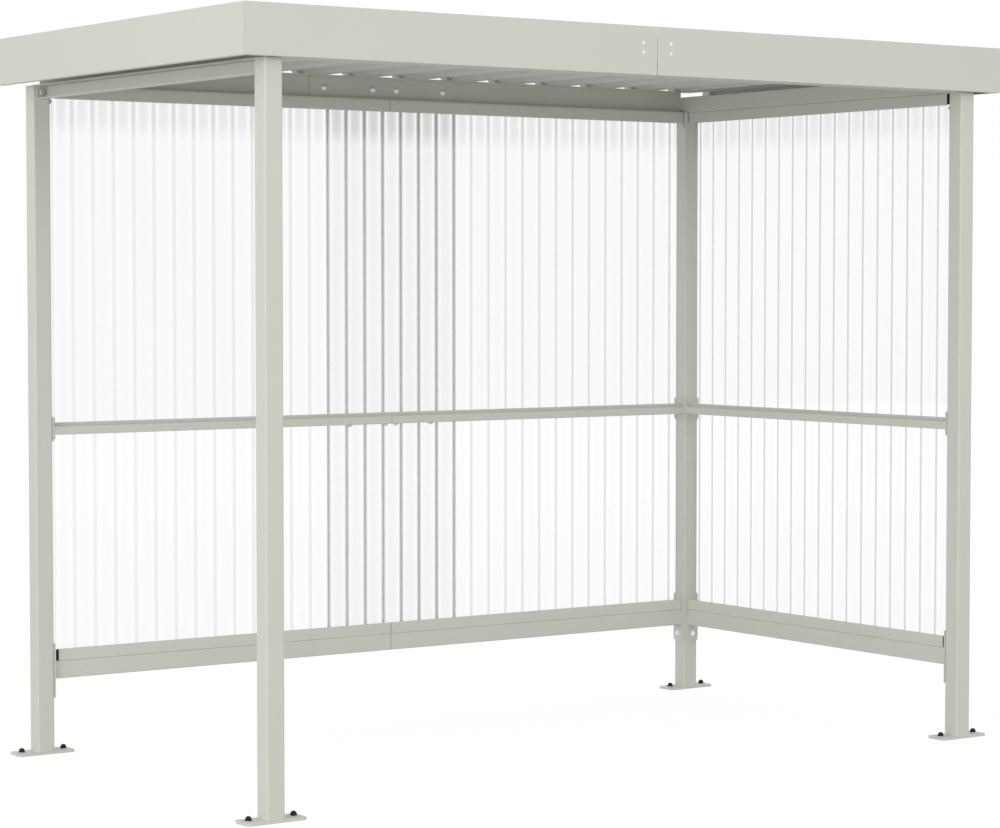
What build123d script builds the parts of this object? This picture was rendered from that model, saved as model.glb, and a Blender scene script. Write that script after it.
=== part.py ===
from build123d import *
import math
import os

# Smoking shelter: a bolted steel frame on four posts, with clear corrugated
# sheet on the back and the right side, open at the front and on the left,
# under a ribbed steel roof with a flat fascia on three sides.
# X runs along the shelter, Y from front to back, Z up, in millimetres.
# The origin is on the ground under the middle of the roof's outline.

# Posts and feet
post_size = 60.0
post_wall = 3.0
post_corner = 6.0
post_pitch_x = 2700.0
post_pitch_y = 1476.0
post_top = 2183.0
foot_length = 200.0
foot_width = 80.0
foot_thickness = 8.0
foot_corner = 12.0
anchor_pitch = 150.0
anchor_hole_r = 6.5

# Channels of the frame, set in from both faces of the posts
member_depth = 38.0
member_wall = 2.5
member_bend = 3.0
lower_rail_z = 244.0
lower_rail_height = 58.0
long_beam_height = 80.0
side_beam_height = 60.0
tie_height = 43.0
box_corner = 4.0
joint_gap = 2.0
beam_splice_length = 620.0
beam_splice_depth = 30.0

# Middle rail: a low channel open upward, its back leg taller than its front
middle_rail_z = 1047.0
middle_rail_inset = 2.0
middle_rail_depth = 18.0
middle_front_leg = 27.0
middle_back_leg = 40.0
middle_wall = 2.0
middle_splice_length = 400.0
middle_splice_height = 18.0

# End plates of the rails
end_plate_thickness = 5.0
lower_plate_height = 178.0
middle_plate_height = 80.0

# Retaining strips at the foot and the head of the wall sheets
strip_height = 40.0
strip_wall = 1.5
strip_foot = 8.5
strip_gap_near = 22.0
strip_gap_far = 6.0
filler_recess = 4.0

# Clear corrugated wall sheet
wave_pitch = 75.6
wave_depth = 18.0
steps_per_wave = 8
back_wave_start = -18.7
side_wave_offset = 4.6
sheet_thickness = 1.2
sheet_edge_gap = 15.0
lap_from = -255.0
lap_to = 300.0

# Ribbed roof sheet
rib_pitch = 207.0
rib_height = 35.0
rib_top = 44.0
rib_base = 112.0
middle_rib_x = 8.0
roof_thickness = 0.7
lap_ribs = (-2, 3)
lap_turn_down = 8.0

# Fascia
side_overhang = 86.0
front_overhang = 34.0
back_overhang = 22.0
fascia_height = 150.0
fascia_wall = 1.2
fascia_flange = 20.0
fascia_bend = 2.0
joint_plate_length = 150.0
joint_plate_height = 70.0
joint_plate_rise = 49.0
joint_plate_wall = 1.5
cleat_width = 36.0
cleat_wall = 2.0
cleat_height = 60.0
front_cleat_ribs = (-5, -2, 2, 5)
side_cleat_width = 26.0
side_cleat_drop = 8.0
side_cleat_end_gap = 60.0

# Clearance between pieces that lie against each other
seat = 0.3

# Places that follow from the sizes above
half_post = post_size / 2
half_gap = joint_gap / 2
roof_half_x = (post_pitch_x + post_size) / 2 + side_overhang
roof_half_y = (post_pitch_y + post_size + front_overhang + back_overhang) / 2
post_x = post_pitch_x / 2
front_post_y = -roof_half_y + front_overhang + half_post
back_post_y = front_post_y + post_pitch_y
inner_x = post_x - half_post
front_inner_y = front_post_y + half_post
back_inner_y = back_post_y - half_post
member_inset = (post_size - member_depth) / 2
member_back = member_inset + member_depth
lower_rail_top = lower_rail_z + lower_rail_height
long_beam_top = post_top + long_beam_height
wave_slope = math.atan(math.pi * wave_depth / wave_pitch)
lap_step = sheet_thickness / math.cos(wave_slope) + seat
fascia_inside_x = roof_half_x - fascia_wall - seat
fascia_inside_y = roof_half_y - fascia_wall - seat
roof_front_y = -fascia_inside_y + joint_plate_wall + seat


# A wall section is drawn with u from the room side of the posts outward and
# v as the height, and runs along its own wall between two places.
def on_back(section, x0, x1):
    plane = Plane((x0, back_inner_y, 0), x_dir=(0, 1, 0), z_dir=(1, 0, 0))
    return extrude(plane * section, x1 - x0)


def on_front(section, x0, x1):
    plane = Plane((x1, front_inner_y, 0), x_dir=(0, -1, 0), z_dir=(-1, 0, 0))
    return extrude(plane * section, x1 - x0)


def on_right(section, y0, y1):
    plane = Plane((inner_x, y1, 0), x_dir=(1, 0, 0), z_dir=(0, -1, 0))
    return extrude(plane * section, y1 - y0)


def on_left(section, y0, y1):
    plane = Plane((-inner_x, y0, 0), x_dir=(-1, 0, 0), z_dir=(0, 1, 0))
    return extrude(plane * section, y1 - y0)


# Sheet metal is a centre line traced at the thickness of the metal.
def folded(points, wall, bend):
    return trace(FilletPolyline(*points, radius=bend), wall)


def area(u0, u1, v0, v1):
    return Pos((u0 + u1) / 2, (v0 + v1) / 2) * Rectangle(u1 - u0, v1 - v0)


def trimmed(outline, limits):
    return outline.face() & limits.face()


def save(shapes, node):
    solids = [solid for shape in shapes for solid in shape.solids()]
    shape = solids[0] if len(solids) == 1 else Compound(children=solids)
    export_step(shape, "parts/" + node + ".step")


# Posts: square tube with a cap welded in flush at the top. Each stands on a
# plate that is long along the shelter, with an anchor hole at either side.
def post(x, y):
    outside = RectangleRounded(post_size, post_size, post_corner)
    bore_size = post_size - 2 * post_wall
    bore = Rectangle(bore_size, bore_size)
    tube = extrude(outside - bore, post_top - foot_thickness)
    cap = Pos(0, 0, post_top - foot_thickness - post_wall) * extrude(bore, post_wall)
    return Pos(x, y, foot_thickness) * (tube + cap)


def foot(x, y):
    plate = RectangleRounded(foot_length, foot_width, foot_corner)
    for side in (-1, 1):
        plate -= Pos(side * anchor_pitch / 2, 0) * Circle(anchor_hole_r)
    return Pos(x, y, 0) * extrude(plate, foot_thickness)


# Channels of the roof ring and the tie: a web and two flanges, open either
# to the room or to the outside.
def channel(z, height, opens_to_room):
    half = member_wall / 2
    web, lip = member_inset + half, member_back
    if opens_to_room:
        web, lip = member_back - half, member_inset
    points = [(lip, z + half), (web, z + half), (web, z + height - half), (lip, z + height - half)]
    return folded(points, member_wall, member_bend)


# The splice is a smaller channel that lies inside the long beams.
def beam_splice_section():
    half = member_wall / 2
    web = member_back - member_wall - seat - half
    lip = web + half - beam_splice_depth
    low = post_top + member_wall + seat + half
    high = long_beam_top - member_wall - seat - half
    return folded([(lip, low), (web, low), (web, high), (lip, high)], member_wall, member_bend)


# Lower rails: closed box section between the end plates.
def lower_rail_section():
    middle = Pos(member_inset + member_depth / 2, lower_rail_z + lower_rail_height / 2)
    outside = RectangleRounded(member_depth, lower_rail_height, box_corner)
    bore = Rectangle(member_depth - 2 * member_wall, lower_rail_height - 2 * member_wall)
    return middle * (outside - bore)


def middle_rail_section():
    half = middle_wall / 2
    front = middle_rail_inset + half
    back = middle_rail_inset + middle_rail_depth - half
    low = middle_rail_z + half
    points = [
        (front, middle_rail_z + middle_front_leg),
        (front, low),
        (back, low),
        (back, middle_rail_z + middle_back_leg),
    ]
    return folded(points, middle_wall, middle_wall)


def middle_splice_section():
    half = middle_wall / 2
    inner = middle_rail_inset + middle_wall + seat + half
    outer = middle_rail_inset + middle_rail_depth - middle_wall - seat - half
    low = middle_rail_z + middle_wall + seat + half
    high = low - half + middle_splice_height
    return folded([(inner, high), (inner, low), (outer, low), (outer, high)], middle_wall, middle_wall)


def end_plate_section(height, middle_z):
    return area(0, post_size, middle_z - height / 2, middle_z + height / 2)


# Retaining strips: angles with the tall leg to the room and the foot on the
# rail below, or under the beam above.
def strip_section(z_foot, direction):
    half = strip_wall / 2
    u = member_inset + half
    tall_end = z_foot + direction * strip_height
    z = z_foot + direction * half
    return folded([(u, tall_end), (u, z), (member_inset + strip_foot, z)], strip_wall, strip_wall)


# Corrugated sheet in plan: t runs along the wall and u outward. It is a sine
# line about the middle of the posts, drawn in short steps, that rises
# outward through the middle at wave_start and at every pitch from there.
def wave_points(t0, t1, wave_start, shift):
    step = wave_pitch / steps_per_wave
    first = math.floor((t0 - wave_start) / step) - 1
    last = math.ceil((t1 - wave_start) / step) + 1
    points = []
    for index in range(first, last + 1):
        rise = wave_depth / 2 * math.sin(2 * math.pi * index / steps_per_wave)
        points.append((wave_start + index * step, half_post + shift + rise))
    return points


def wall_sheet(t0, t1, wave_start, shift):
    wave = trace(Polyline(*wave_points(t0, t1, wave_start, shift)), sheet_thickness)
    return trimmed(wave, area(t0, t1, 0, post_size + shift))


# The filler closes the waves between strip and sheet: straight on the strip
# side and waved on the sheet side.
def filler(t0, t1, wave_start):
    shift = -(sheet_thickness / 2 + seat) / math.cos(wave_slope)
    waved = wave_points(t0, t1, wave_start, shift)
    front = member_inset + strip_wall + seat
    ends = [(waved[-1][0], front), (waved[0][0], front)]
    return trimmed(make_face(Polyline(*waved, *ends, close=True)), area(t0, t1, 0, post_size))


# Plan outlines are stood up from a height: along X for the back wall, along
# Y for the right one.
def stand_back(plan, z0, z1):
    return extrude(Plane((0, back_inner_y, z0)) * plan, z1 - z0)


def stand_right(plan, z0, z1):
    turned = Plane((inner_x, 0, z0), x_dir=(0, 1, 0), z_dir=(0, 0, -1))
    return extrude(turned * plan, -(z1 - z0))


# Roof sheet: flat pans between ribs, one continuous folded line from rib to
# rib. A sheet that laps another starts over its neighbour's last rib.
def roof_sheet(first_rib, last_rib, starts_over, ends_under):
    pan_z = long_beam_top + roof_thickness / 2
    crest_z = pan_z + rib_height
    rise = roof_thickness + seat
    web_run = (rib_base - rib_top) / 2
    points = []
    for rib in range(first_rib, last_rib + 1):
        x = middle_rib_x + rib * rib_pitch
        left = [(x - rib_base / 2, pan_z), (x - rib_top / 2, crest_z)]
        right = [(x + rib_top / 2, crest_z), (x + rib_base / 2, pan_z)]
        if rib == first_rib and starts_over:
            left = [(x - rib_top / 2, crest_z + rise)]
            right = [(x + rib_top / 2 + rise, crest_z + rise), (x + rib_base / 2 + rise, pan_z)]
        if rib == last_rib and ends_under:
            turn = lap_turn_down * web_run / rib_height
            right = [(x + rib_top / 2, crest_z), (x + rib_top / 2 + turn, crest_z - lap_turn_down)]
        points += left + right
    folds = trace(Polyline(*points), roof_thickness)
    between = area(-fascia_inside_x, fascia_inside_x, long_beam_top - rib_height, crest_z + rib_height)
    plane = Plane((0, roof_half_y, 0), x_dir=(1, 0, 0), z_dir=(0, -1, 0))
    return extrude(plane * trimmed(folds, between), roof_half_y - roof_front_y)


# Fascia: a tall face with a narrow flange turned in at the bottom and top.
# edge is the outer face, inward the direction of the flanges.
def fascia_section(edge, inward):
    half = fascia_wall / 2
    face = edge + inward * half
    tip = edge + inward * fascia_flange
    low, high = post_top + half, post_top + fascia_height - half
    return folded([(tip, low), (face, low), (face, high), (tip, high)], fascia_wall, fascia_bend)


# The front fascia runs the whole length, with its flanges stopped short of
# the side faces at the corners.
def front_fascia(side):
    start = min(side * half_gap, side * roof_half_x)
    plane = Plane((start, 0, 0), x_dir=(0, 1, 0), z_dir=(1, 0, 0))
    body = extrude(plane * fascia_section(-roof_half_y, 1), roof_half_x - half_gap)
    return body - corner_notch(side, fascia_inside_x, roof_half_x, fascia_wall, fascia_flange)


# The side fascia stops behind the front one, and its flanges are cut back
# where the front flanges run.
def side_fascia(side):
    plane = Plane((0, roof_half_y, 0), x_dir=(1, 0, 0), z_dir=(0, -1, 0))
    section = fascia_section(side * roof_half_x, -side)
    body = extrude(plane * section, roof_half_y + fascia_inside_y)
    flange_root = roof_half_x - fascia_wall
    return body - corner_notch(side, flange_root - fascia_flange, flange_root, 0, fascia_flange + seat)


# x0 and x1 are measured out from the middle, y0 and y1 back from the front.
def corner_notch(side, x0, x1, y0, y1):
    middle = Pos(side * (x0 + x1) / 2, (y0 + y1) / 2 - roof_half_y, post_top + fascia_height / 2)
    return middle * Box(x1 - x0, y1 - y0, fascia_height + 2 * seat)


# Cleats under the roof hold the fascia: one leg lies along its inner face
# and the other stands out from it, both from the same top.
def cleat(plane, leg_width, top):
    legs = [(leg_width / 2, cleat_wall / 2), (-leg_width / 2, cleat_wall / 2), (-leg_width / 2, leg_width)]
    angle = trace(Polyline(*legs), cleat_wall)
    return Pos(0, 0, top - cleat_height) * extrude(plane * angle, cleat_height)


os.makedirs("parts", exist_ok=True)

corners = {
    "front_left": (-post_x, front_post_y),
    "back_left": (-post_x, back_post_y),
    "back_right": (post_x, back_post_y),
    "front_right": (post_x, front_post_y),
}
for corner, (x, y) in corners.items():
    save([post(x, y)], "post_" + corner)
    save([foot(x, y)], "base_plate_" + corner)

rail_end_x = inner_x - end_plate_thickness
spans = {"left": (-rail_end_x, -half_gap), "right": (half_gap, rail_end_x)}
side_from = front_inner_y + end_plate_thickness
side_to = back_inner_y - end_plate_thickness

for name, (x0, x1) in spans.items():
    save([on_back(lower_rail_section(), x0, x1)], "lower_rail_back_" + name)
    save([on_back(middle_rail_section(), x0, x1)], "middle_rail_back_" + name)
save([on_right(lower_rail_section(), side_from, side_to)], "lower_rail_side")
save([on_right(middle_rail_section(), side_from, side_to)], "middle_rail_side")
half_splice = middle_splice_length / 2
save([on_back(middle_splice_section(), -half_splice, half_splice)], "middle_rail_splice")

plates = []
for height, middle_z in (
    (lower_plate_height, lower_rail_z + lower_rail_height / 2),
    (middle_plate_height, middle_rail_z + middle_back_leg / 2),
):
    section = end_plate_section(height, middle_z)
    plates.append(on_back(section, -inner_x, -rail_end_x))
    plates.append(on_back(section, rail_end_x, inner_x))
    plates.append(on_right(section, front_inner_y, side_from))
    plates.append(on_right(section, side_to, back_inner_y))
save(plates, "rail_end_plates")

strip_spans = {
    "left": (-inner_x + strip_gap_near, -half_gap),
    "right": (half_gap, inner_x - strip_gap_far),
}
side_strip_span = (front_inner_y + strip_gap_near, back_inner_y - strip_gap_far)
back_strip_span = (-inner_x + strip_gap_near, inner_x - strip_gap_far)
side_wave_start = front_inner_y + side_wave_offset
for level, z_foot, direction in (("bottom", lower_rail_top, 1), ("top", post_top, -1)):
    section = strip_section(z_foot, direction)
    for name, (x0, x1) in strip_spans.items():
        save([on_back(section, x0, x1)], level + "_strip_back_" + name)
    save([on_right(section, *side_strip_span)], level + "_strip_side")
    near = z_foot + direction * (strip_wall + seat)
    far = z_foot + direction * (strip_height - filler_recess)
    z0, z1 = min(near, far), max(near, far)
    back_filler = stand_back(filler(*back_strip_span, back_wave_start), z0, z1)
    side_filler = stand_right(filler(*side_strip_span, side_wave_start), z0, z1)
    save([back_filler], level + "_filler_back")
    save([side_filler], level + "_filler_side")

sheet_low, sheet_high = lower_rail_top + seat, post_top - seat
back_edge = inner_x - sheet_edge_gap
left_plan = wall_sheet(-back_edge, lap_to, back_wave_start, 0)
right_plan = wall_sheet(lap_from, back_edge, back_wave_start, lap_step)
side_plan = wall_sheet(
    front_inner_y + sheet_edge_gap, back_inner_y - sheet_edge_gap, side_wave_start, 0
)
save([stand_back(left_plan, sheet_low, sheet_high)], "wall_sheet_back_left")
save([stand_back(right_plan, sheet_low, sheet_high)], "wall_sheet_back_right")
save([stand_right(side_plan, sheet_low, sheet_high)], "wall_sheet_side")

ring_x = inner_x + member_inset
long_section = channel(post_top, long_beam_height, True)
side_section = channel(post_top, side_beam_height, False)
ring_front_y = front_inner_y - member_back
ring_back_y = back_inner_y + member_back
half_splice = beam_splice_length / 2
for name, (x0, x1) in {"left": (-ring_x, -half_gap), "right": (half_gap, ring_x)}.items():
    save([on_back(long_section, x0, x1)], "back_beam_" + name)
    save([on_front(long_section, x0, x1)], "front_beam_" + name)
save([on_back(beam_splice_section(), -half_splice, half_splice)], "back_beam_splice")
save([on_front(beam_splice_section(), -half_splice, half_splice)], "front_beam_splice")
save([on_left(side_section, ring_front_y, ring_back_y)], "left_beam")
save([on_right(side_section, ring_front_y, ring_back_y)], "right_beam")

tie_section = channel(post_top - tie_height, tie_height, False)
tie = on_left(tie_section, front_inner_y, back_inner_y)
tie_end = area(member_inset, member_back, post_top - tie_height, post_top)
tie += on_left(tie_end, front_inner_y, side_from)
tie += on_left(tie_end, side_to, back_inner_y)
save([tie], "left_tie")

edge_rib = math.ceil(roof_half_x / rib_pitch) + 1
left_lap, right_lap = lap_ribs
save([roof_sheet(-edge_rib, left_lap, False, True)], "roof_sheet_left")
save([roof_sheet(left_lap, right_lap, True, True)], "roof_sheet_middle")
save([roof_sheet(right_lap, edge_rib, True, False)], "roof_sheet_right")

save([front_fascia(-1)], "front_fascia_left")
save([front_fascia(1)], "front_fascia_right")
save([side_fascia(-1)], "left_fascia")
save([side_fascia(1)], "right_fascia")
joint_plate = Box(joint_plate_length, joint_plate_wall, joint_plate_height)
joint_plate_z = post_top + joint_plate_rise + joint_plate_height / 2
joint_plate_y = -fascia_inside_y + joint_plate_wall / 2
save([Pos(0, joint_plate_y, joint_plate_z) * joint_plate], "front_fascia_joint_plate")

crest_bottom = long_beam_top + rib_height - seat
side_cleat_y = roof_half_y - side_cleat_end_gap
cleats = []
for rib in front_cleat_ribs:
    corner = Plane((middle_rib_x + rib * rib_pitch, -fascia_inside_y, 0))
    cleats.append(cleat(corner, cleat_width, crest_bottom))
for side in (-1, 1):
    for y in (-side_cleat_y, 0, side_cleat_y):
        corner = Plane((side * fascia_inside_x, y, 0), x_dir=(0, side, 0), z_dir=(0, 0, 1))
        cleats.append(cleat(corner, side_cleat_width, crest_bottom - side_cleat_drop))
save(cleats, "fascia_cleats")
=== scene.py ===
import math
import bmesh
import bpy
from mathutils import Matrix, Vector


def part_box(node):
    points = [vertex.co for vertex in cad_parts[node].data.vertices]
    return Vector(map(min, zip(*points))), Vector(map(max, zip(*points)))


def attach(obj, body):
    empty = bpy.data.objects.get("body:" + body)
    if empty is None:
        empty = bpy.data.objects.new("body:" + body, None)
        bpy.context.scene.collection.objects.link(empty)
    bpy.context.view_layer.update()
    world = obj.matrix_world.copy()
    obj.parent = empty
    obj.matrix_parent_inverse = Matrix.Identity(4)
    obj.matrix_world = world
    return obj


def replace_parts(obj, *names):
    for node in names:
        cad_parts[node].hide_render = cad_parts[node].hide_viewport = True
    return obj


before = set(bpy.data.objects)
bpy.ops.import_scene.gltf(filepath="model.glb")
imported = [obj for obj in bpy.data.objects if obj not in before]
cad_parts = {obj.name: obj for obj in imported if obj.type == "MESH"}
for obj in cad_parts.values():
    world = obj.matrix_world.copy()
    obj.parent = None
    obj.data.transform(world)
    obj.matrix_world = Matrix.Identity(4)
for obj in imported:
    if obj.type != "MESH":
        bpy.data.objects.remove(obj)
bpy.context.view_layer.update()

# Base plates: laser-cut steel, 8 mm thick, welded under the posts and powder
# coated with the rest of the frame in one pale warm grey.


class Socket:
    """One output in a material's node tree, so that sums on it read as plain maths."""

    def __init__(self, tree, out):
        self.tree = tree
        self.out = out

    def maths(self, operation, *terms):
        node = self.tree.nodes.new("ShaderNodeMath")
        node.operation = operation
        for place, term in zip(node.inputs, terms):
            if isinstance(term, Socket):
                self.tree.links.new(term.out, place)
            else:
                place.default_value = term
        return Socket(self.tree, node.outputs[0])

    def __add__(self, other):
        return self.maths("ADD", self, other)

    def __radd__(self, other):
        return self.maths("ADD", other, self)

    def __sub__(self, other):
        return self.maths("SUBTRACT", self, other)

    def __rsub__(self, other):
        return self.maths("SUBTRACT", other, self)

    def __mul__(self, other):
        return self.maths("MULTIPLY", self, other)

    def __rmul__(self, other):
        return self.maths("MULTIPLY", other, self)

    def __truediv__(self, other):
        return self.maths("DIVIDE", self, other)

    def __pow__(self, other):
        return self.maths("POWER", self, other)

    def clamped(self, low, high):
        return self.maths("MINIMUM", self.maths("MAXIMUM", self, low), high)


class Finish:
    """A material whose nodes are added one by one from plain Python."""

    def __init__(self, name):
        self.material = bpy.data.materials.new(name)
        self.material.use_nodes = True
        self.tree = self.material.node_tree
        self.tree.nodes.clear()
        self.surface = self.tree.nodes.new("ShaderNodeOutputMaterial").inputs["Surface"]

    def node(self, kind, settings=None, inputs=None, output=0):
        made = self.tree.nodes.new(kind)
        for key, value in (settings or {}).items():
            setattr(made, key, value)
        for key, value in (inputs or {}).items():
            if isinstance(value, Socket):
                self.tree.links.new(value.out, made.inputs[key])
            else:
                made.inputs[key].default_value = value
        return Socket(self.tree, made.outputs[output])

    def place(self):
        return self.node("ShaderNodeTexCoord", output="Object")

    def noise(self, size, detail=3.0, roughness=0.5, where=None):
        return self.node(
            "ShaderNodeTexNoise",
            inputs={
                "Vector": where or self.place(),
                "Scale": 1.0 / size,
                "Detail": detail,
                "Roughness": roughness,
            },
        )

    def between(self, low, high, share):
        mix = self.tree.nodes.new("ShaderNodeMix")
        mix.data_type = "RGBA"
        for place, value in (("Factor", share), ("A", low), ("B", high)):
            if isinstance(value, Socket):
                self.tree.links.new(value.out, mix.inputs[place])
            else:
                mix.inputs[place].default_value = value
        return Socket(self.tree, mix.outputs["Result"])

    def bump(self, height, distance, strength=1.0):
        return self.node(
            "ShaderNodeBump", inputs={"Height": height, "Distance": distance, "Strength": strength}
        )

    def ends_in(self, shader):
        self.tree.links.new(shader.out, self.surface)
        return self.material


def powder_coat(name, light, dark, bright_spots=None):
    """Baked powder: an even colour, a faint cloudiness and a fine orange-peel skin.

    bright_spots(coat) gives 1 where bare bright metal shows and 0 elsewhere.
    """
    coat = Finish(name)
    cloud = coat.noise(0.35)
    peel = coat.noise(0.0016, detail=1.5)
    speck = coat.noise(0.0005, detail=0.0)
    colour = coat.between(dark, light, (cloud * 0.7 + speck * 0.3).clamped(0.0, 1.0))
    if bright_spots:
        colour = coat.between(colour, (0.95, 0.95, 0.93, 1.0), bright_spots(coat))
    skin = coat.node(
        "ShaderNodeBsdfPrincipled",
        inputs={
            "Base Color": colour,
            "Roughness": 0.52 + 0.10 * coat.noise(0.05),
            "Normal": coat.bump(peel, 0.00006),
            "IOR": 1.42,
        },
    )
    return coat.ends_in(skin)


frame_light = (0.655, 0.655, 0.592, 1.0)
frame_dark = (0.615, 0.617, 0.556, 1.0)
frame_grey = powder_coat("pale_grey_powder_coat", frame_light, frame_dark)


def finish_nodes(names, material):
    for name in names:
        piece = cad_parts[name]
        for place in piece.material_slots:
            place.material = material


corners = ("front_left", "back_left", "back_right", "front_right")
finish_nodes(["base_plate_" + corner for corner in corners], frame_grey)

# Posts: 60 mm square steel tube with rounded corners, capped and ground
# smooth at the top, welded to the base plates before coating.

finish_nodes(["post_" + corner for corner in corners], frame_grey)

# Anchors: each base plate is held down by two studs with plain washers, each
# under a moulded black dome cap.


def add_piece(name, mesh, material):
    mesh.materials.append(material)
    piece = bpy.data.objects.new(name, mesh)
    bpy.context.scene.collection.objects.link(piece)
    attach(piece, "root")
    return piece


def turned(form, profile, place, steps=32, flats=None):
    """Spins (radius, height) points about the Z axis of place into form.

    flats, where given, maps an angle to a factor on the radius.
    """
    rings = []
    for radius, height in profile:
        if radius == 0.0:
            rings.append([form.verts.new(place @ Vector((0.0, 0.0, height)))])
            continue
        ring = []
        for step in range(steps):
            angle = 2 * math.pi * step / steps
            share = flats(angle) if flats else 1.0
            reach = radius * share
            spot = Vector((reach * math.cos(angle), reach * math.sin(angle), height))
            ring.append(form.verts.new(place @ spot))
        rings.append(ring)
    for low, high in zip(rings, rings[1:]):
        for step in range(steps):
            after = (step + 1) % steps
            face = [low[step % len(low)], low[after % len(low)]]
            face += [high[after % len(high)], high[step % len(high)]]
            corners_of_face = list(dict.fromkeys(face))
            if len(corners_of_face) > 2:
                form.faces.new(corners_of_face)


def shaded(form, name, sharp=0.6):
    """Turns a bmesh into a mesh that is smooth except across edges sharper than the given angle."""
    bmesh.ops.recalc_face_normals(form, faces=form.faces)
    for face in form.faces:
        face.smooth = True
    for edge in form.edges:
        if len(edge.link_faces) == 2:
            edge.smooth = edge.calc_face_angle(0.0) < sharp
    mesh = bpy.data.meshes.new(name)
    form.to_mesh(mesh)
    form.free()
    return mesh


def facing(spot, outward):
    """A frame at spot whose Z axis points outward."""
    return Matrix.Translation(spot) @ Vector(outward).to_track_quat("Z", "Y").to_matrix().to_4x4()


cap_finish = Finish("black_moulded_plastic")
cap_grain = cap_finish.noise(0.0009, detail=2.0)
black_plastic = cap_finish.ends_in(
    cap_finish.node(
        "ShaderNodeBsdfPrincipled",
        inputs={
            "Base Color": cap_finish.between(
                (0.003, 0.003, 0.003, 1), (0.006, 0.006, 0.006, 1), cap_finish.noise(0.01)
            ),
            "Roughness": 0.50 + 0.16 * cap_grain,
            "IOR": 1.40,
            "Normal": cap_finish.bump(cap_grain, 0.00004),
        },
    )
)

zinc_finish = Finish("zinc_plated_steel")
zinc_cloud = zinc_finish.noise(0.004)
zinc = zinc_finish.ends_in(
    zinc_finish.node(
        "ShaderNodeBsdfPrincipled",
        inputs={
            "Base Color": zinc_finish.between((0.76, 0.76, 0.75, 1), (0.88, 0.88, 0.87, 1), zinc_cloud),
            "Metallic": 1.0,
            "Roughness": 0.30 + 0.18 * zinc_cloud,
            "Normal": zinc_finish.bump(zinc_finish.noise(0.0008), 0.00003),
        },
    )
)

plate_top = 0.008
washer_top = 0.0016
anchor_reach = 0.075
dome = [(0.0098, 0.0), (0.0098, 0.0040), (0.0093, 0.0068), (0.0080, 0.0096), (0.0058, 0.0119)]
dome += [(0.0030, 0.0132), (0.0, 0.0136)]
washer = [(0.0070, 0.0), (0.0102, 0.0), (0.0105, 0.0004), (0.0105, 0.0012)]
washer += [(0.0102, washer_top), (0.0070, washer_top)]
cap_form = bmesh.new()
washer_form = bmesh.new()
for corner in corners:
    low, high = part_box("base_plate_" + corner)
    middle = (Vector(low) + Vector(high)) / 2
    for side in (-1, 1):
        spot = Vector((middle.x + side * anchor_reach, middle.y, plate_top))
        turned(washer_form, washer, Matrix.Translation(spot))
        turned(cap_form, dome, Matrix.Translation(spot + Vector((0, 0, washer_top))))
add_piece("anchor_caps", shaded(cap_form, "anchor_caps"), black_plastic)
add_piece("anchor_washers", shaded(washer_form, "anchor_washers"), zinc)

# Lower rails: closed steel box section under the wall sheets, welded to flat
# end plates that are bolted to the posts, four bolts to a corner.

finish_nodes(["lower_rail_back_left", "lower_rail_back_right", "lower_rail_side"], frame_grey)
finish_nodes(["rail_end_plates"], frame_grey)


def hexagon(angle):
    """How far out a hexagon's edge lies at an angle, where its corners lie at 1."""
    turn = angle % (math.pi / 3) - math.pi / 6
    return math.cos(math.pi / 6) / math.cos(turn)


bolt_washer_top = 0.0014
bolt_washer = [(0.0030, 0.0), (0.0100, 0.0), (0.0103, 0.0004)]
bolt_washer += [(0.0100, bolt_washer_top), (0.0030, bolt_washer_top)]
bolt_head = [(0.0080, 0.0), (0.0080, 0.0046), (0.0074, 0.0053), (0.0, 0.0053)]


def hex_bolt(form, spot, outward):
    place = facing(spot, outward)
    turned(form, bolt_washer, place)
    turned(form, bolt_head, place @ Matrix.Translation((0, 0, bolt_washer_top)), steps=36, flats=hexagon)


post_inner_x = 1.320
back_inner_y = 0.714
front_inner_y = -0.702
end_plate = 0.005
lower_plate_middle = 0.273
lower_bolt_rises = (-0.062, 0.048)
lower_bolt_in = 0.034
bolt_form = bmesh.new()
for rise in lower_bolt_rises:
    z = lower_plate_middle + rise
    for side in (-1, 1):
        spot = Vector((side * (post_inner_x - end_plate), back_inner_y + lower_bolt_in, z))
        hex_bolt(bolt_form, spot, (-side, 0, 0))
    for y, outward in ((front_inner_y + end_plate, 1), (back_inner_y - end_plate, -1)):
        hex_bolt(bolt_form, Vector((post_inner_x + lower_bolt_in, y, z)), (0, outward, 0))
add_piece("lower_rail_bolts", shaded(bolt_form, "lower_rail_bolts"), zinc)

# Middle rails: low folded channels, open upward, that the wall sheets are
# screwed to from the room side, with a splice inside the back one.

middle_nodes = ["middle_rail_back_left", "middle_rail_back_right", "middle_rail_side"]
finish_nodes(middle_nodes + ["middle_rail_splice"], frame_grey)

middle_plate_middle = 1.067
middle_bolt_rise = 0.029
middle_bolt_in = 0.011
middle_web_z = 1.047
middle_splice_bolt_xs = (-0.170, -0.021, 0.021, 0.170)
middle_form = bmesh.new()
for rise in (-middle_bolt_rise, middle_bolt_rise):
    z = middle_plate_middle + rise
    for side in (-1, 1):
        spot = Vector((side * (post_inner_x - end_plate), back_inner_y + middle_bolt_in, z))
        hex_bolt(middle_form, spot, (-side, 0, 0))
    for y, outward in ((front_inner_y + end_plate, 1), (back_inner_y - end_plate, -1)):
        hex_bolt(middle_form, Vector((post_inner_x + middle_bolt_in, y, z)), (0, outward, 0))
for x in middle_splice_bolt_xs:
    hex_bolt(middle_form, Vector((x, back_inner_y + middle_bolt_in, middle_web_z)), (0, 0, -1))
add_piece("middle_rail_bolts", shaded(middle_form, "middle_rail_bolts"), frame_grey)

# Retaining strips and fillers: bent steel angles along the foot and the head
# of the sheets, with black foam behind them cut to the sheets' waves.

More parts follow.
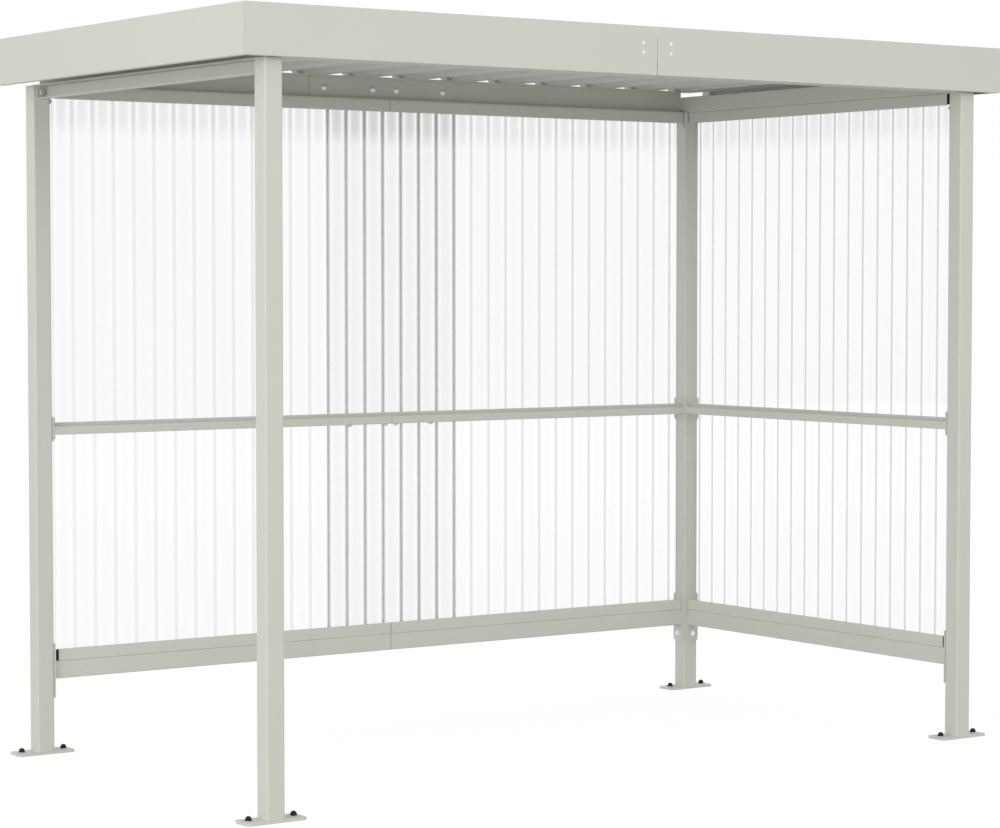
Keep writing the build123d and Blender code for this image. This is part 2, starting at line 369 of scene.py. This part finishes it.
for level in ("bottom", "top"):
    strips = ("back_left", "back_right", "side")
    finish_nodes([level + "_strip_" + wall for wall in strips], frame_grey)

foam = Finish("black_closed_cell_foam")
foam_cells = foam.noise(0.0011, detail=2.0, roughness=0.7)
black_foam = foam.ends_in(
    foam.node(
        "ShaderNodeBsdfPrincipled",
        inputs={
            "Base Color": foam.between((0.009, 0.009, 0.009, 1), (0.022, 0.022, 0.021, 1), foam_cells),
            "Roughness": 0.82 + 0.12 * foam_cells,
            "Normal": foam.bump(foam_cells, 0.0002),
        },
    )
)
for level in ("bottom", "top"):
    finish_nodes([level + "_filler_" + wall for wall in ("back", "side")], black_foam)

# Wall sheets: clear corrugated plastic, about 76 mm from wave to wave and 18 mm
# deep, standing between the strips, two lengths lapped on the back wall.

wave_pitch = 0.0756
wave_depth = 0.018
sheet_thickness = 0.0012
wave_steps = 32
back_wave_start = -0.0187
side_wave_start = front_inner_y + 0.0046
lap_from = -0.255
lap_to = 0.300
wall_middle_y = 0.744
wall_middle_x = 1.350


def wave_sheet(name, t0, t1, z0, z1, wave_start, out, along_x):
    """A sine sheet with both its faces and its cut edges, between t0 and t1 along the wall."""
    form = bmesh.new()
    count = round((t1 - t0) / wave_pitch * wave_steps)
    rows = []
    for index in range(count + 1):
        t = t0 + (t1 - t0) * index / count
        turn = 2 * math.pi * (t - wave_start) / wave_pitch
        rise = wave_depth / 2 * math.sin(turn)
        slope = math.pi * wave_depth / wave_pitch * math.cos(turn)
        across = Vector((-slope, 1.0)).normalized() * sheet_thickness / 2
        row = []
        for sign in (-1, 1):
            along, u = t + sign * across.x, out + rise + sign * across.y
            along = min(max(along, t0), t1)
            for z in (z0, z1):
                row.append(form.verts.new((along, u, z) if along_x else (u, along, z)))
        rows.append(row)
    for near, far in zip(rows, rows[1:]):
        form.faces.new((near[0], far[0], far[1], near[1]))
        form.faces.new((near[2], near[3], far[3], far[2]))
        form.faces.new((near[1], far[1], far[3], near[3]))
        form.faces.new((near[0], near[2], far[2], far[0]))
    for row in (rows[0], rows[-1]):
        form.faces.new((row[0], row[1], row[3], row[2]))
    return shaded(form, name, sharp=1.0)


clear = Finish("clear_corrugated_plastic")
edge_on = clear.node("ShaderNodeLayerWeight", inputs={"Blend": 0.5}, output="Facing")
streak = clear.noise(0.5)
along_wall = clear.node("ShaderNodeSeparateXYZ", inputs={"Vector": clear.place()}, output="X")
height = clear.node("ShaderNodeSeparateXYZ", inputs={"Vector": clear.place()}, output="Z")
outward = clear.node("ShaderNodeNewGeometry", output="Normal")
lean_x = clear.node("ShaderNodeSeparateXYZ", inputs={"Vector": outward}, output="X")
lean_y = clear.node("ShaderNodeSeparateXYZ", inputs={"Vector": outward}, output="Y")
flank = lean_x.maths("MINIMUM", lean_x.maths("ABSOLUTE", lean_x), lean_y.maths("ABSOLUTE", lean_y))
# Painted shade: the sheet turns greyer on the steep flanks of its waves, and greyer still in its top few
# centimetres under the top strip.
shade_from = 2.02
shade_fade = 0.06
painted_shade_under_strip = ((height - shade_from) / shade_fade).clamped(0.0, 1.0)
painted_flank_shade = (0.04 + 0.14 * painted_shade_under_strip) * flank
# Painted shade: thin darker lines where the waves are seen edge-on, stronger over the lap where the two
# sheets overlap.
past_start = along_wall.maths("GREATER_THAN", along_wall, lap_from)
in_lap = past_start * along_wall.maths("LESS_THAN", along_wall, lap_to)
edge_on_shade_line = (0.74 + 0.95 * in_lap) * edge_on ** 4.0
clear_sheet = clear.ends_in(
    clear.node(
        "ShaderNodeBsdfPrincipled",
        inputs={
            "Base Color": clear.between((0.38, 0.39, 0.38, 1), (0.44, 0.45, 0.44, 1), streak),
            "Roughness": 0.10 + 0.08 * streak,
            "IOR": 1.49,
            "Alpha": (0.02 + painted_flank_shade + edge_on_shade_line).clamped(0.0, 1.0),
            "Normal": clear.bump(clear.noise(0.03), 0.0001),
        },
    )
)

for name in ("wall_sheet_back_left", "wall_sheet_back_right"):
    low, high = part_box(name)
    out = wall_middle_y if name.endswith("left") else (low[1] + high[1]) / 2
    span = (low[0], high[0], low[2], high[2])
    mesh = wave_sheet("clear_" + name, *span, back_wave_start, out, True)
    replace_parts(add_piece("clear_" + name, mesh, clear_sheet), name)
low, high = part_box("wall_sheet_side")
span = (low[1], high[1], low[2], high[2])
mesh = wave_sheet("clear_wall_sheet_side", *span, side_wave_start, wall_middle_x, False)
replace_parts(add_piece("clear_wall_sheet_side", mesh, clear_sheet), "wall_sheet_side")

# Roof ring: folded channels on the post tops, the long ones in two halves
# with a smaller channel bolted inside each joint.

for beam in ("back_beam", "front_beam"):
    finish_nodes([beam + part for part in ("_left", "_right", "_splice")], frame_grey)
finish_nodes(["left_beam", "right_beam"], frame_grey)

button_head = [(0.0112, 0.0), (0.0112, 0.0010), (0.0096, 0.0014), (0.0086, 0.0038), (0.0060, 0.0052)]
button_head += [(0.0036, 0.0056), (0.0036, 0.0032), (0.0, 0.0032)]


def button_bolt(form, spot, outward):
    turned(form, button_head, facing(spot, outward), steps=36)


ring_wall = 0.0025
ring_bolt_z = 2.222
ring_bolt_xs = (-0.252, -0.051, 0.047, 0.245)
back_web_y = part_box("back_beam_splice")[1][1] - ring_wall
front_web_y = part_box("front_beam_splice")[0][1] + ring_wall
ring_form = bmesh.new()
for x in ring_bolt_xs:
    button_bolt(ring_form, Vector((x, back_web_y, ring_bolt_z)), (0, -1, 0))
    button_bolt(ring_form, Vector((x, front_web_y, ring_bolt_z)), (0, 1, 0))
add_piece("ring_splice_bolts", shaded(ring_form, "ring_splice_bolts"), zinc)

# Left tie: a folded channel between the two left posts under the ring, with
# a bolt through each end. Each post head has one bolt of its own.

finish_nodes(["left_tie"], frame_grey)
tie_bolt_z = 2.160
head_bolt_z = 2.133
head_bolt_in = 0.011
tie_form = bmesh.new()
button_bolt(tie_form, Vector((-wall_middle_x, front_inner_y + end_plate, tie_bolt_z)), (0, 1, 0))
button_bolt(tie_form, Vector((-wall_middle_x, back_inner_y - end_plate, tie_bolt_z)), (0, -1, 0))
for side in (-1, 1):
    back_spot = Vector((side * post_inner_x, back_inner_y + head_bolt_in, head_bolt_z))
    hex_bolt(tie_form, back_spot, (-side, 0, 0))
    front_spot = Vector((side * (post_inner_x + head_bolt_in), front_inner_y, head_bolt_z))
    hex_bolt(tie_form, front_spot, (0, 1, 0))
add_piece("post_head_bolts", shaded(tie_form, "post_head_bolts"), frame_grey)

# Roof sheet: ribbed steel with a pale coil coating, ribs from front to back,
# three lengths lapped over a rib.

coil_light = (0.66, 0.665, 0.62, 1.0)
coil_dark = (0.62, 0.625, 0.58, 1.0)
coil_grey = powder_coat("pale_coil_coating", coil_light, coil_dark)
finish_nodes(["roof_sheet_left", "roof_sheet_middle", "roof_sheet_right"], coil_grey)

# Fascias: folded steel on the front and both sides, on cleats under the
# roof, the front one in two halves riveted to a plate behind the joint.

finish_nodes(["left_fascia", "right_fascia"], frame_grey)
finish_nodes(["front_fascia_joint_plate", "fascia_cleats"], frame_grey)

rivet_in = 0.054
rivet_rise = 2.267
rivet_half_gap = 0.015
rivet_radius = 0.0056
rivet_rim = 0.0006


def rivet_heads(coat):
    """1 on the four flush rivet heads, two each side of the joint, and 0 around them."""
    x = coat.node("ShaderNodeSeparateXYZ", inputs={"Vector": coat.place()}, output="X")
    z = coat.node("ShaderNodeSeparateXYZ", inputs={"Vector": coat.place()}, output="Z")
    across = x.maths("ABSOLUTE", x) - rivet_in
    up = z.maths("ABSOLUTE", z - rivet_rise) - rivet_half_gap
    reach = (across * across + up * up) ** 0.5
    return ((rivet_radius - reach) / rivet_rim).clamped(0.0, 1.0)


riveted_grey = powder_coat("riveted_grey_powder_coat", frame_light, frame_dark, rivet_heads)
finish_nodes(["front_fascia_left", "front_fascia_right"], riveted_grey)

# Floor, light and camera: a pale studio floor under an even white sky, broad
# soft lamps at the left and the front, and the photograph's viewpoint.

floor_size = 40.0
plain_reach = 3.0
plain_fade = 9.0
floor_finish = Finish("pale_studio_floor")
light_path = floor_finish.tree.nodes.new("ShaderNodeLightPath")
seen = Socket(floor_finish.tree, light_path.outputs["Is Camera Ray"])
seen = seen.maths("MAXIMUM", seen, Socket(floor_finish.tree, light_path.outputs["Is Glossy Ray"]))
seen = seen.maths("MAXIMUM", seen, Socket(floor_finish.tree, light_path.outputs["Is Transmission Ray"]))
floor_cloud = floor_finish.noise(0.3)
lit_grey = floor_finish.between((0.58, 0.58, 0.58, 1), (0.62, 0.62, 0.62, 1), floor_cloud)
matt = floor_finish.node(
    "ShaderNodeBsdfDiffuse", inputs={"Color": floor_finish.between(lit_grey, (0.95, 0.95, 0.95, 1), seen)}
)
from_middle = floor_finish.node(
    "ShaderNodeVectorMath", {"operation": "LENGTH"}, {0: floor_finish.place()}, "Value"
)
far_off = ((from_middle - plain_reach) / plain_fade).clamped(0.0, 1.0)
glow = floor_finish.node("ShaderNodeEmission", inputs={"Color": (1, 1, 1, 1), "Strength": 1.04})
mixed = floor_finish.tree.nodes.new("ShaderNodeMixShader")
floor_finish.tree.links.new((seen * (0.88 + 0.12 * far_off)).out, mixed.inputs[0])
floor_finish.tree.links.new(matt.out, mixed.inputs[1])
floor_finish.tree.links.new(glow.out, mixed.inputs[2])
pale_floor = floor_finish.ends_in(Socket(floor_finish.tree, mixed.outputs[0]))

floor_form = bmesh.new()
bmesh.ops.create_grid(floor_form, x_segments=8, y_segments=8, size=floor_size / 2)
floor_mesh = bpy.data.meshes.new("studio_floor")
floor_form.to_mesh(floor_mesh)
floor_form.free()
floor_mesh.materials.append(pale_floor)
studio_floor = bpy.data.objects.new("studio_floor", floor_mesh)
bpy.context.scene.collection.objects.link(studio_floor)

world = bpy.data.worlds.new("white_studio")
bpy.context.scene.world = world
world.use_nodes = True
sky = world.node_tree
sky.nodes.clear()
sky_path = sky.nodes.new("ShaderNodeLightPath")
sky_seen = Socket(sky, sky_path.outputs["Is Camera Ray"])
sky_seen = sky_seen.maths("MAXIMUM", sky_seen, Socket(sky, sky_path.outputs["Is Glossy Ray"]))
sky_seen = sky_seen.maths("MAXIMUM", sky_seen, Socket(sky, sky_path.outputs["Is Transmission Ray"]))
sky_level = 0.80
background = sky.nodes.new("ShaderNodeBackground")
background.inputs["Color"].default_value = (1, 1, 1, 1)
sky.links.new((sky_seen * (1 - sky_level) + sky_level).out, background.inputs["Strength"])
sky_out = sky.nodes.new("ShaderNodeOutputWorld")
sky.links.new(background.outputs[0], sky_out.inputs["Surface"])


def soft_lamp(name, place, target, size, power):
    lamp = bpy.data.lights.new(name, "AREA")
    lamp.shape = "DISK"
    lamp.size = size
    lamp.energy = power
    holder = bpy.data.objects.new(name, lamp)
    holder.location = place
    holder.rotation_euler = (Vector(target) - Vector(place)).to_track_quat("-Z", "Y").to_euler()
    bpy.context.scene.collection.objects.link(holder)


middle_of_shelter = (0, 0, 1.2)
soft_lamp("key_lamp", (-12.0, -3.5, 2.4), middle_of_shelter, 5.0, 410)
soft_lamp("fill_lamp", (0.2, -11.5, 4.2), middle_of_shelter, 5.0, 220)

scene = bpy.context.scene
camera_data = bpy.data.cameras.new("photo_camera")
photo_width = 1000
focal_length = 2905.7
camera_data.sensor_width = 36.0
camera_data.lens = focal_length / photo_width * camera_data.sensor_width
camera_data.shift_x = -0.0002
camera_data.shift_y = 0.0068
camera_data.clip_end = 200.0
camera = bpy.data.objects.new("photo_camera", camera_data)
camera.location = (-5.5579, -7.8937, 1.5514)
camera.rotation_euler = (math.radians(90.0 - 2.764), 0.0, math.radians(-34.980))
scene.collection.objects.link(camera)
scene.camera = camera
scene.view_settings.view_transform = "Standard"
